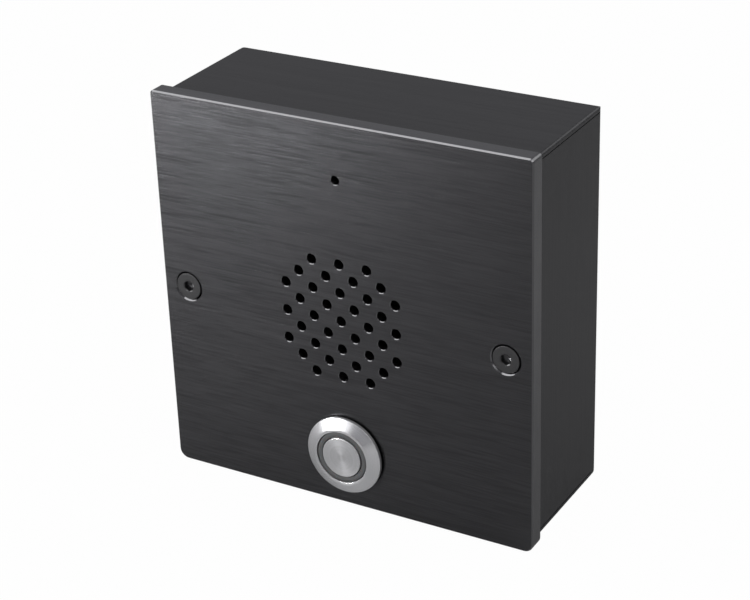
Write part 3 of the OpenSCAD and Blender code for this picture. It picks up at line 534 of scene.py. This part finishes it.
# Spider: a disc of cotton, varnished and pressed into three waves, with a foot round its edge.
# It is glued to the basket and to the coil's former, and keeps the coil in the middle of its gap.
spider_in, spider_out = 0.0066, 0.0134
spider_foot, spider_t = 0.0012, 0.0003
spider_level, foot_level = -0.0069, -0.0089
wave_count, wave_steps, wave_rise = 3, 60, 0.0004
waves = []
for k in range(wave_steps + 1):
    share = k / wave_steps
    reach = spider_in + (spider_out - spider_foot - spider_in) * share
    waves.append((reach, spider_level + wave_rise * math.sin(2 * math.pi * wave_count * share)))
spider = turned(
    "cloth_spider",
    waves
    + [(spider_out, spider_level), (spider_out, foot_level), (spider_out - spider_foot, foot_level)]
    + [(reach, level - spider_t) for reach, level in reversed(waves)],
    speaker_spot,
)
spider_cloth, place = new_finish("varnished_cotton")
weave = {"Vector": place, "Scale": 640.0, "Distortion": 0.4}
warp = place.node("TexWave", {"bands_direction": "X"}, weave)
weft = place.node("TexWave", {"bands_direction": "Y"}, weave)
crossing = warp * 0.5 + weft * 0.5
coat(
    place,
    Base_Color=crossing.mix((0.30, 0.18, 0.065, 1), (0.56, 0.37, 0.15, 1)),
    Roughness=0.58 + crossing * 0.2,
    Normal=crossing.relief(3e-5),
)
fit(spider, spider_cloth, "spider_cloth", "panel", "speaker_spider")

# Cone and dust cap: black paper, pressed from wet pulp, so short fibres and blotches show. The cone is
# glued to the roll and to the coil's former, and the cap closes the former.
cone_paper, place = new_finish("pressed_paper_black")
fibres = place.grain((2400, 2400, 2400), 4, 0.7)
blotch = place.grain((260, 260, 260), 3)
coat(
    place,
    Base_Color=(fibres * 0.6 + blotch * 0.4).mix((0.016, 0.014, 0.012, 1), (0.042, 0.037, 0.031, 1)),
    Roughness=0.74 + fibres * 0.18,
    Normal=fibres.relief(4e-5),
)
dress(cone_paper, "speaker_cone", "dust_cap")

# Voice coil: enamelled copper wire, wound in one layer on a thin former. It hangs in the gap of the
# magnet and moves with the cone.
former_in, former_out, former_top = 0.00635, 0.00655, -0.0055
winding_top, winding_foot = -0.0089, -0.0125
wire_t, wire_turns, turn_steps = 0.0002, 18, 6
groove = 0.45
wound = []
for turn in range(wire_turns):
    for k in range(turn_steps):
        share = (turn + k / turn_steps) / wire_turns
        level = winding_top + (winding_foot - winding_top) * share
        bulge = groove + (1 - groove) * math.sin(math.pi * k / turn_steps)
        wound.append((former_out + wire_t * bulge, level))
coil = turned(
    "wound_coil",
    [(former_in, former_top), (former_out, former_top), (former_out, winding_top)] + wound
    + [(former_out, winding_foot), (former_in, winding_foot)],
    speaker_spot,
)
copper_wire, place = new_finish("enamelled_copper")
varnish = place.grain((900, 900, 4000), 2)
coat(
    place,
    Base_Color=varnish.mix((0.46, 0.19, 0.065, 1), (0.66, 0.31, 0.12, 1)),
    Metallic=1.0,
    Roughness=0.26 + varnish * 0.16,
    Coat_Weight=0.5,
    Normal=varnish.relief(4e-6),
)
fit(coil, copper_wire, "copper", "cone", "voice_coil")

# Magnet and basket: a ring of fired and ground ferrite, glued between a top plate and a yoke of
# zinc-plated steel. The basket that carries them is pressed from sheet and plated as well.
ferrite_grey, place = new_finish("ground_ferrite")
pits = place.grain((1500, 1500, 1500), 4, 0.65)
ground = place.grain((5200, 200, 5200), 2)
coat(
    place,
    Base_Color=pits.mix(grey(0.020), grey(0.050)),
    Roughness=0.46 + pits * 0.2,
    Normal=(pits * 0.8 + ground * 0.2).relief(1.2e-5),
)
dress(ferrite_grey, "magnet")
dress(zinc_plated, "speaker_basket", "top_plate", "yoke")

# Speaker fixings: four studs welded to the back of the plate, with bent clamps and nuts that hold the
# basket's rim. A strip of brown laminate on the rim carries two brass solder tags.
dress(zinc_plated, "speaker_studs", "speaker_clamps", "clamp_nuts")
laminate = moulded_finish("paper_laminate_brown", (0.150, 0.070, 0.028, 1), (0.250, 0.125, 0.055, 1), 0.46)
dress(laminate, "tag_board")
brass, place = new_finish("rolled_brass")
rolled = place.grain((400, 5200, 5200), 2)
tarnish = place.grain((240, 240, 240), 3)
coat(
    place,
    Base_Color=(rolled * 0.3 + tarnish * 0.7).mix((0.50, 0.32, 0.09, 1), (0.76, 0.55, 0.21, 1)),
    Metallic=1.0,
    Roughness=0.22 + tarnish * 0.2,
    Normal=rolled.relief(3e-6),
)
dress(brass, "speaker_tags")

# Microphone: a small round capsule in a tinned can, behind its hole in the plate.
# A boot of moulded rubber holds it there and seals it to the plate.
dress(rubber_black, "mic_boot")
dress(tinned, "mic_capsule")

# Push button head: a stainless bush turned from bar, with a wide bevelled bezel, brushed round its axis
# and threaded behind. Faces turned away from the front, the bored and turned sides and the edge
# chamfers, are rougher than the brushed faces and painted darker as shade.
bush_low, bush_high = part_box("button_bush")
button_z = (bush_low.z + bush_high.z) / 2
button_spot = (0, face_y, button_z)
bore_r, barrel_r, bezel_r = 0.00835, 0.0095, 0.01225
barrel_end, seal_t, bevel_foot, head_top = -0.018, 0.0006, 0.0015, 0.003
lip_r, lip_edge = 0.0092, 0.00007
barrel_fillet, edge_fillet, rim_fillet, bevel_fillet = 5e-5, 8e-5, 1.5e-4, 1.2e-4
thread_pitch, thread_depth, thread_rows = 0.001, 0.00055, 12
thread_top, plain_end = -0.0055, 0.0005
neck_len, neck_slope = 0.0004, 0.001
button_steps, button_smooth = 144, 0.5


def threaded(radius, level, pitch, depth):
    """Radius of a screw thread at a level, as a function of the turn."""
    def at(turn):
        share = (level / pitch - turn / (2 * math.pi)) % 1
        return radius - depth * abs(2 * share - 1)
    return at


thread_count = round((thread_top - barrel_end - plain_end) / thread_pitch * thread_rows)
thread = []
for row in range(thread_count + 1):
    level = barrel_end + plain_end + row * thread_pitch / thread_rows
    thread.append((threaded(barrel_r, level, thread_pitch, thread_depth), level))
bush = turned(
    "steel_bezel",
    [(bore_r, barrel_end), (barrel_r - thread_depth, barrel_end)]
    + thread
    + rounded([
        (barrel_r - thread_depth, thread_top + neck_len, 0),
        (barrel_r, thread_top + neck_slope, barrel_fillet), (barrel_r, seal_t, barrel_fillet),
        (bezel_r, seal_t, edge_fillet),
        (bezel_r, bevel_foot, rim_fillet), (lip_r, head_top, bevel_fillet),
        (bore_r + lip_edge, head_top, edge_fillet), (bore_r, head_top - lip_edge, edge_fillet),
        (bore_r, barrel_end, 0),
    ], closed=False, steps=6),
    button_spot,
    button_steps,
    button_smooth,
)


def from_axis(place):
    """How far a place is from the piece's own Z axis."""
    flat = place.node("VectorMath", {"operation": "MULTIPLY"}, {0: place, 1: (1, 1, 0)})
    return place.node("VectorMath", {"operation": "LENGTH"}, {0: flat}, "Value")


turned_steel, place = new_finish("turned_stainless")
facing = place.node("TexCoord", out="Normal")
round_place = place.node("CombineXYZ", {}, {0: from_axis(place), 1: place.part("Z")})
ring_lines = round_place.grain((6500, 6500, 1), 3, 0.7).over(0.25, 0.75)
smear = place.grain((330, 330, 330), 2)
# Faces turned away from the front: rougher, and painted darker as shade.
shaded_rough_side = 1 - facing.part("Z").over(0.78, 0.87)
coat(
    place,
    Base_Color=shaded_rough_side.mix(ring_lines.mix(grey(0.71, 1.02), grey(0.89, 1.02)), grey(0.38, 1.02)),
    Metallic=1.0,
    Roughness=0.19 + ring_lines * 0.05 + smear * 0.04 + shaded_rough_side * 0.30,
    Anisotropic=0.5,
    Anisotropic_Rotation=0.25,
    Normal=ring_lines.relief(1.2e-6),
)
fit(bush, turned_steel, "stainless", "panel", "button_bush")

# Bezel seal and nut: a flat ring of moulded rubber under the bezel keeps water out of the button's hole.
# Behind the plate a lock washer and a nut of plated steel clamp the bush.
gasket_in, gasket_out, gasket_fillet = 0.00955, 0.01195, 1e-4
bezel_gasket = turned("bezel_gasket", rounded([
    (gasket_in, 0.0, gasket_fillet), (gasket_out, 0.0, gasket_fillet),
    (gasket_out, seal_t, gasket_fillet), (gasket_in, seal_t, gasket_fillet),
]), button_spot)
fit(bezel_gasket, rubber_black, "black_rubber", "panel", "bezel_seal")
dress(zinc_plated, "lock_washer", "button_nut")

# Light ring: a moulded tube of grey translucent plastic, set in the bush round the cap. A shallow step
# leaves a dark line beside the bezel, and the frosted face is slightly crowned.
ring_out, ring_in = 0.0083, 0.00665
ring_top, ring_end = 0.0027, -0.0053
step_in, step_low, step_high = 0.0002, 0.0009, 0.0007
crown_rise, ring_fillet, crown_fillet = 5e-5, 1.2e-4, 1e-3
lit_ring = turned("frosted_ring", rounded([
    (ring_in, ring_end, 0), (ring_out, ring_end, 0), (ring_out, ring_top - step_low, 0),
    (ring_out - step_in, ring_top - step_high, 0), (ring_out - step_in, ring_top - crown_rise, ring_fillet),
    ((ring_in + ring_out) / 2, ring_top, crown_fillet), (ring_in, ring_top - crown_rise, ring_fillet),
]), button_spot)
frosted_grey, place = new_finish("frosted_plastic_grey")
frost = place.grain((2600, 2600, 2600), 3)
coat(
    place,
    Base_Color=frost.mix((0.028, 0.029, 0.030, 1), (0.046, 0.047, 0.048, 1)),
    Roughness=0.50 + frost * 0.16,
    Subsurface_Weight=0.15,
    Subsurface_Scale=0.0008,
    Normal=frost.relief(6e-6),
)
fit(lit_ring, frosted_grey, "light_plastic", "panel", "light_ring")

# Lamps: small lamps cast in clear resin over yellow phosphor, soldered to a ring-shaped board behind
# the light ring. Tinned pins bring the current to the board.
lamp_lens, place = new_finish("lamp_resin")
phosphor = place.grain((1800, 1800, 1800), 2)
coat(
    place,
    Base_Color=phosphor.mix((0.70, 0.60, 0.26, 1), (0.84, 0.77, 0.48, 1)),
    Roughness=0.20 + phosphor * 0.16,
    Coat_Weight=0.6,
    Normal=phosphor.relief(6e-6),
)
dress(lamp_lens, "lamps")
dress(board_green, "lamp_board")
dress(tinned, "lamp_pins")

# Button cap: a stainless disc faced on the lathe, so fine rings run round it, with a chamfered edge.
# It is pressed on a pale acetal stem that runs through the guide.
cap_r, cap_edge = 0.00635, 0.00013
cap_under, under_fillet = 0.0, 1e-4
cap_face = turned("steel_cap", rounded([
    (0, cap_under, 0), (cap_r, cap_under, under_fillet), (cap_r, head_top - cap_edge, edge_fillet),
    (cap_r - cap_edge, head_top, edge_fillet), (0, head_top, 0),
], closed=False), button_spot, button_steps, button_smooth)
fit(cap_face, turned_steel, "stainless", "button", "button_cap")
dress(pale_plastic, "button_stem")

# Return spring: hard-drawn steel wire, zinc plated and wound with closed ends.
# It stands in the guide's pocket and pushes the cap out, and it shortens as the cap goes in.
spring_r, spring_wire = 0.00415, 0.0007
spring_top, spring_foot = -0.00005, -0.01395
spring_turns, spring_steps, wire_sides = 6, 40, 12
dead_turns = 0.75
dead_share = dead_turns / spring_turns
open_rise = spring_top - spring_foot - spring_wire - spring_wire * 2 * dead_turns
total = spring_turns * spring_steps
points, faces = [], []
for k in range(total + 1):
    share = k / total
    ease = min(max((share - dead_share) / (1 - 2 * dead_share), 0), 1)
    closed = min(share / dead_share, 1) + max((share - 1 + dead_share) / dead_share, 0)
    level = spring_foot + spring_wire / 2 + open_rise * ease + spring_wire * dead_turns * closed
    turn = 2 * math.pi * spring_turns * share
    for side in range(wire_sides):
        around = 2 * math.pi * side / wire_sides
        reach = spring_r + spring_wire / 2 * math.cos(around)
        points.append((reach * math.cos(turn), reach * math.sin(turn),
                       level + spring_wire / 2 * math.sin(around)))
for k in range(total):
    for side in range(wire_sides):
        after = (side + 1) % wire_sides
        low, high = k * wire_sides, (k + 1) * wire_sides
        faces.append([low + side, low + after, high + after, high + side])
faces.append(list(range(wire_sides)))
faces.append(list(range(total * wire_sides, (total + 1) * wire_sides)))
spring = add_mesh("wound_spring", points, faces)
spring.location = button_spot
spring.rotation_euler = (math.pi / 2, 0, 0)
fit(spring, zinc_plated, "zinc_steel", "panel", "return_spring")
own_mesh(spring)

# Switch: a black guide and base moulded in one tool family, a brass bridge that the stem carries, and
# two brass blades that it closes.
dress(black_plastic, "switch_guide", "switch_base")
dress(brass, "contact_bridge", "contact_blades")


# Leads: thin stranded copper in coloured vinyl, drawn through a die.
# They run from the loudspeaker, the microphone and the button to the headers on the board.
def vinyl(name, dark, pale):
    """Drawn vinyl: glossy, with faint marks from the die that also change the shade."""
    finish, place = new_finish(name)
    die_marks = place.grain((1500, 1500, 1500), 2)
    coat(
        place,
        Base_Color=die_marks.mix(dark, pale),
        Roughness=0.30 + die_marks * 0.14,
        Normal=die_marks.relief(6e-6),
    )
    return finish


dress(vinyl("vinyl_red", (0.24, 0.018, 0.014, 1), (0.36, 0.034, 0.026, 1)), "speaker_leads")
dress(vinyl("vinyl_grey", (0.17, 0.17, 0.175, 1), (0.26, 0.26, 0.265, 1)), "mic_leads")
dress(vinyl("vinyl_blue", (0.014, 0.042, 0.24, 1), (0.028, 0.070, 0.35, 1)), "button_leads")

# Gasket: a frame of closed-cell foam, punched from sheet.
# It lies between the plate and the box, and the plate screws squeeze it.
dress(foam_black, "plate_gasket")

# Plate screws: two countersunk hex-socket screws of blackened steel, through the plate into the tapped
# collars of the brackets. Each head is just below the face, with a narrow dark gap round its edge, and
# the floor of its socket is worn bare.
screw_x, screw_sunk = 0.0522, 0.0001
head_r, head_in, land = 0.0041, 0.002, 0.0005
shank_r, shank_start, screw_len = 0.00195, -0.0038, 0.012
screw_pitch, screw_thread, screw_rows = 0.0007, 0.0004, 8
neck_level, shank_top, plain_tip = -0.0041, -0.0042, 0.0005
socket_half, socket_depth, socket_point = 0.00145, 0.0019, 0.0005
floor_share, floor_rise = 0.98, 3e-5
mouth_foot, mouth_mid, mouth_past = -0.00016, -8e-5, 0.0001
head_fillet, land_fillet, shank_fillet = 1.5e-4, 1e-4, 2e-4


def hexagon(half):
    """Reach of a hexagon as a function of the turn, from half its width across the flats."""
    def at(turn):
        return half / math.cos((turn + math.pi / 6) % (math.pi / 3) - math.pi / 6)
    return at


def socket_mouth(half, share):
    """Between the hexagon and a circle just past its corners."""
    round_r = half / math.cos(math.pi / 6) + mouth_past

    def at(turn):
        return hexagon(half)(turn) * (1 - share) + round_r * share
    return at


screw_count = round((screw_len - plain_tip + shank_top) / screw_pitch * screw_rows)
screw_thread_rings = []
for row in range(screw_count + 1):
    level = shank_top - row * screw_pitch / screw_rows
    screw_thread_rings.append((threaded(shank_r, level, screw_pitch, screw_thread), level))
screw_rings = [
    (0, -socket_depth - socket_point), (hexagon(socket_half * floor_share), -socket_depth),
    (hexagon(socket_half), -socket_depth + floor_rise), (hexagon(socket_half), mouth_foot),
    (socket_mouth(socket_half, 0.5), mouth_mid), (socket_mouth(socket_half, 1.0), 0),
] + rounded([
    (head_in, 0, 0), (head_r, 0, head_fillet), (head_r, -land, land_fillet),
    (shank_r, shank_r - head_r - land, shank_fillet), (shank_r, shank_start, 0),
], closed=False) + [(shank_r - screw_thread, neck_level)] + screw_thread_rings + [
    (shank_r - screw_thread, -screw_len), (0, -screw_len),
]
blackened, place = new_finish("blackened_steel")
radius = from_axis(place)
forged = place.grain((1500, 1500, 1500), 3)
bared = (place.part("Z") * -1).over(0.0010, 0.0016) * (1 - radius.over(0.0015, 0.0017))
turning = place.node("CombineXYZ", {}, {0: radius}).grain((7000, 1, 1), 2)
coat(
    place,
    Base_Color=bared.mix((forged * 0.6 + turning * 0.4).mix(grey(0.024), grey(0.046)), grey(0.14)),
    Metallic=0.75,
    Roughness=0.34 + forged * 0.14,
    Normal=(forged * 0.7 + turning * 0.3).relief(4e-6),
)
for name, side in (("screw_left", -1), ("screw_right", 1)):
    screw = turned(name, screw_rings, (side * screw_x, face_y + screw_sunk, 0), steps=60, smooth_angle=0.5)
    fit(screw, blackened, "screw_black", "panel", "panel_screws")

# Floor: a pale matt sweep under the panel. To the camera it is the white of the background, with only
# a trace of the panel's shadow, and everything else meets it as an ordinary matt surface.
floor_gap, floor_size = 0.0001, 3.0
floor_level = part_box("front_plate")[0].z - floor_gap
floor_white = 0.985
floor_mesh = bpy.data.meshes.new("floor")
floor_mesh.from_pydata(
    [(-floor_size, -floor_size, floor_level), (floor_size, -floor_size, floor_level),
     (floor_size, floor_size, floor_level), (-floor_size, floor_size, floor_level)],
    [], [(0, 1, 2, 3)])
floor = bpy.data.objects.new("floor", floor_mesh)
bpy.context.collection.objects.link(floor)


def seen(start):
    """1 for what the camera sees, straight or through something clear, and 0 for all other light."""
    return start.node("LightPath", out="Is Camera Ray") + start.node("LightPath", out="Is Transmission Ray")


floor_pale, place = new_finish("floor_pale")
matt = place.node("BsdfDiffuse", {}, {"Color": (0.32, 0.32, 0.32, 1)})
white = place.node("Emission", {}, {"Color": (1, 1, 1, 1), "Strength": 1.0})
sweep = place.node("MixShader", {}, {0: seen(place) * floor_white, 1: matt, 2: white})
place.node("OutputMaterial", {}, {"Surface": sweep})
floor_mesh.materials.append(floor_pale)


# Studio lamps: a small soft box low on the left, whose edge gives the slow sheen across the plate, a
# large weaker one above it, which whitens the bezel's top, and a long one that draws the upper chamfers.
# A box behind on the right and one high on the right light the sides.
def soft_box(name, left, up, roll, width, height, radiance):
    """A soft box one metre from the plate's middle, by its angles left of the front and above it."""
    left, up, roll = math.radians(left), math.radians(up), math.radians(roll)
    away = Vector((-math.sin(left) * math.cos(up), -math.cos(left) * math.cos(up), math.sin(up)))
    level = Vector((0, 0, 1)).cross(away).normalized()
    upright = away.cross(level)
    side = level * math.cos(roll) + upright * math.sin(roll)
    rise = upright * math.cos(roll) - level * math.sin(roll)
    lamp = bpy.data.lights.new(name, "AREA")
    lamp.shape = "RECTANGLE"
    lamp.size = width
    lamp.size_y = height
    lamp.energy = math.pi * width * height * radiance
    stand = bpy.data.objects.new(name, lamp)
    aim = Matrix((side, rise, away)).transposed().to_4x4()
    stand.matrix_world = Matrix.Translation(away + Vector((0, face_y, 0))) @ aim
    bpy.context.collection.objects.link(stand)
    stand.visible_camera = False


soft_box("low_soft_box", left=38.8, up=2.8, roll=-39.8, width=0.431, height=0.200, radiance=52.0)
soft_box("high_soft_box", left=29.0, up=20.0, roll=0.0, width=0.56, height=0.36, radiance=0.6)
soft_box("strip_box", left=57.0, up=47.0, roll=30.0, width=1.45, height=0.45, radiance=2.8)
soft_box("rim_box", left=-149.0, up=28.0, roll=0.0, width=0.60, height=0.45, radiance=1.3)
soft_box("fill_box", left=-85.0, up=45.0, roll=0.0, width=1.30, height=1.00, radiance=2.2)

# Studio walls: white to the camera. The panel is lit by soft grey walls, brightest behind it on the
# left and above, and dimmest to the front, on the right and below.
room = bpy.data.worlds.new("studio")
room.use_nodes = True
room.node_tree.nodes.clear()
start = Wire(room.node_tree)
bright_side = (-0.45, 0.70, 0.55)
toward = start.node("TexCoord", out="Generated")
behind = start.node("VectorMath", {"operation": "DOT_PRODUCT"}, {0: toward, 1: bright_side}, "Value")
wall = behind.over(-0.9, 0.9).mix(grey(0.22, 1.05), grey(0.37, 1.05))
shown = seen(start).mix(wall, (1, 1, 1, 1))
backdrop = start.node("Background", {}, {"Color": shown, "Strength": 1.0})
start.node("OutputWorld", {}, {"Surface": backdrop})
bpy.context.scene.world = room
